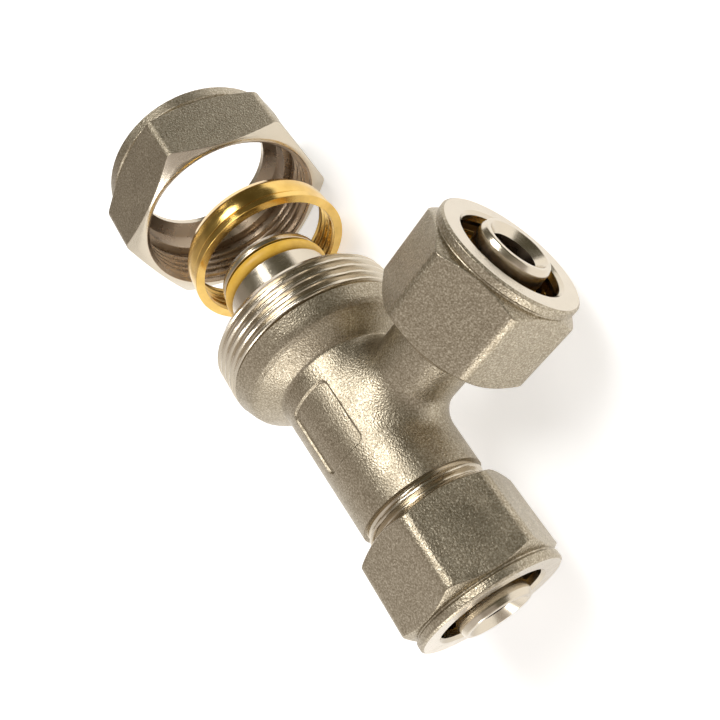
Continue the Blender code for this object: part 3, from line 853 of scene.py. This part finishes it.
def area_light(name, place, size, power):
    """A soft white light that points at the middle of the fitting."""
    data = bpy.data.lights.new(name, "AREA")
    data.shape = "RECTANGLE"
    data.size, data.size_y = size
    data.energy = power
    lamp = bpy.data.objects.new(name, data)
    bpy.context.scene.collection.objects.link(lamp)
    lamp.location = place
    aim = Vector(LIGHT_TARGET) - Vector(place)
    lamp.rotation_euler = aim.to_track_quat("-Z", "Y").to_euler()


def studio_tone(nodes, links):
    """Light round the object: bright at one end, dim at the other, uneven."""
    place = nodes.new("ShaderNodeTexCoord").outputs["Generated"]
    aim = nodes.new("ShaderNodeVectorMath")
    aim.operation = "DOT_PRODUCT"
    aim.inputs[1].default_value = DIM_SIDE
    links.new(place, aim.inputs[0])
    drift = nodes.new("ShaderNodeTexNoise")
    drift.inputs["Scale"].default_value = 1.6
    drift.inputs["Detail"].default_value = 1.0
    links.new(place, drift.inputs["Vector"])
    ripple = nodes.new("ShaderNodeMath")
    ripple.operation = "MULTIPLY_ADD"
    ripple.inputs[1].default_value, ripple.inputs[2].default_value = RIPPLE
    links.new(drift.outputs["Fac"], ripple.inputs[0])
    tone = nodes.new("ShaderNodeMath")
    tone.operation = "ADD"
    links.new(aim.outputs["Value"], tone.inputs[0])
    links.new(ripple.outputs["Value"], tone.inputs[1])
    level = nodes.new("ShaderNodeMapRange")
    level.inputs["From Min"].default_value = -1.0
    level.inputs["From Max"].default_value = 1.0
    links.new(tone.outputs["Value"], level.inputs["Value"])
    return ramp(nodes, links, level.outputs["Result"], [
        (0.0, (1.0, 0.98, 0.96)), (0.30, (0.78, 0.73, 0.70)), (0.48, (0.46, 0.41, 0.37)),
        (0.66, (0.20, 0.18, 0.14)), (1.0, (0.11, 0.10, 0.07))])


def make_light():
    """Two soft lights in a studio whose backdrop is seen as plain white."""
    world = bpy.data.worlds.new("studio")
    bpy.context.scene.world = world
    world.use_nodes = True
    nodes, links = world.node_tree.nodes, world.node_tree.links
    back = nodes["Background"]
    back.inputs["Strength"].default_value = 1.0
    sky = studio_tone(nodes, links)
    path = nodes.new("ShaderNodeLightPath")
    mix = nodes.new("ShaderNodeMix")
    mix.data_type = "RGBA"
    mix.inputs[7].default_value = (1.0, 1.0, 1.0, 1.0)
    links.new(path.outputs["Is Camera Ray"], mix.inputs[0])
    links.new(sky, mix.inputs[6])
    links.new(mix.outputs[2], back.inputs["Color"])
    area_light("key", (-0.22, 0.22, 0.55), (0.30, 0.30), 2.3)
    area_light("side", (0.60, -0.28, 0.14), (0.12, 0.35), 1.2)


def make_camera():
    """A camera above the branch side, placed from the crossing of the axes."""
    data = bpy.data.cameras.new("camera")
    data.sensor_width = 36.0
    data.lens = CAMERA_LENS
    data.shift_x, data.shift_y = CAMERA_SHIFT
    data.clip_start = 0.01
    data.clip_end = 20.0
    camera = bpy.data.objects.new("camera", data)
    bpy.context.scene.collection.objects.link(camera)
    place = Vector(CAMERA_PLACE) + ANCHOR
    frame_of = Matrix((CAMERA_RIGHT, CAMERA_UP, CAMERA_BACK)).transposed().to_4x4()
    camera.matrix_world = Matrix.Translation(place * MM) @ frame_of
    bpy.context.scene.camera = camera


def main():
    bpy.context.scene.view_settings.view_transform = "Standard"
    make_tee()
    for end in ENDS:
        make_nut(end)
        make_ring(end)
        make_washer(end)
        make_seal(end, 0, "inner")
        make_seal(end, 1, "outer")
    make_stage()
    make_light()
    make_camera()


main()
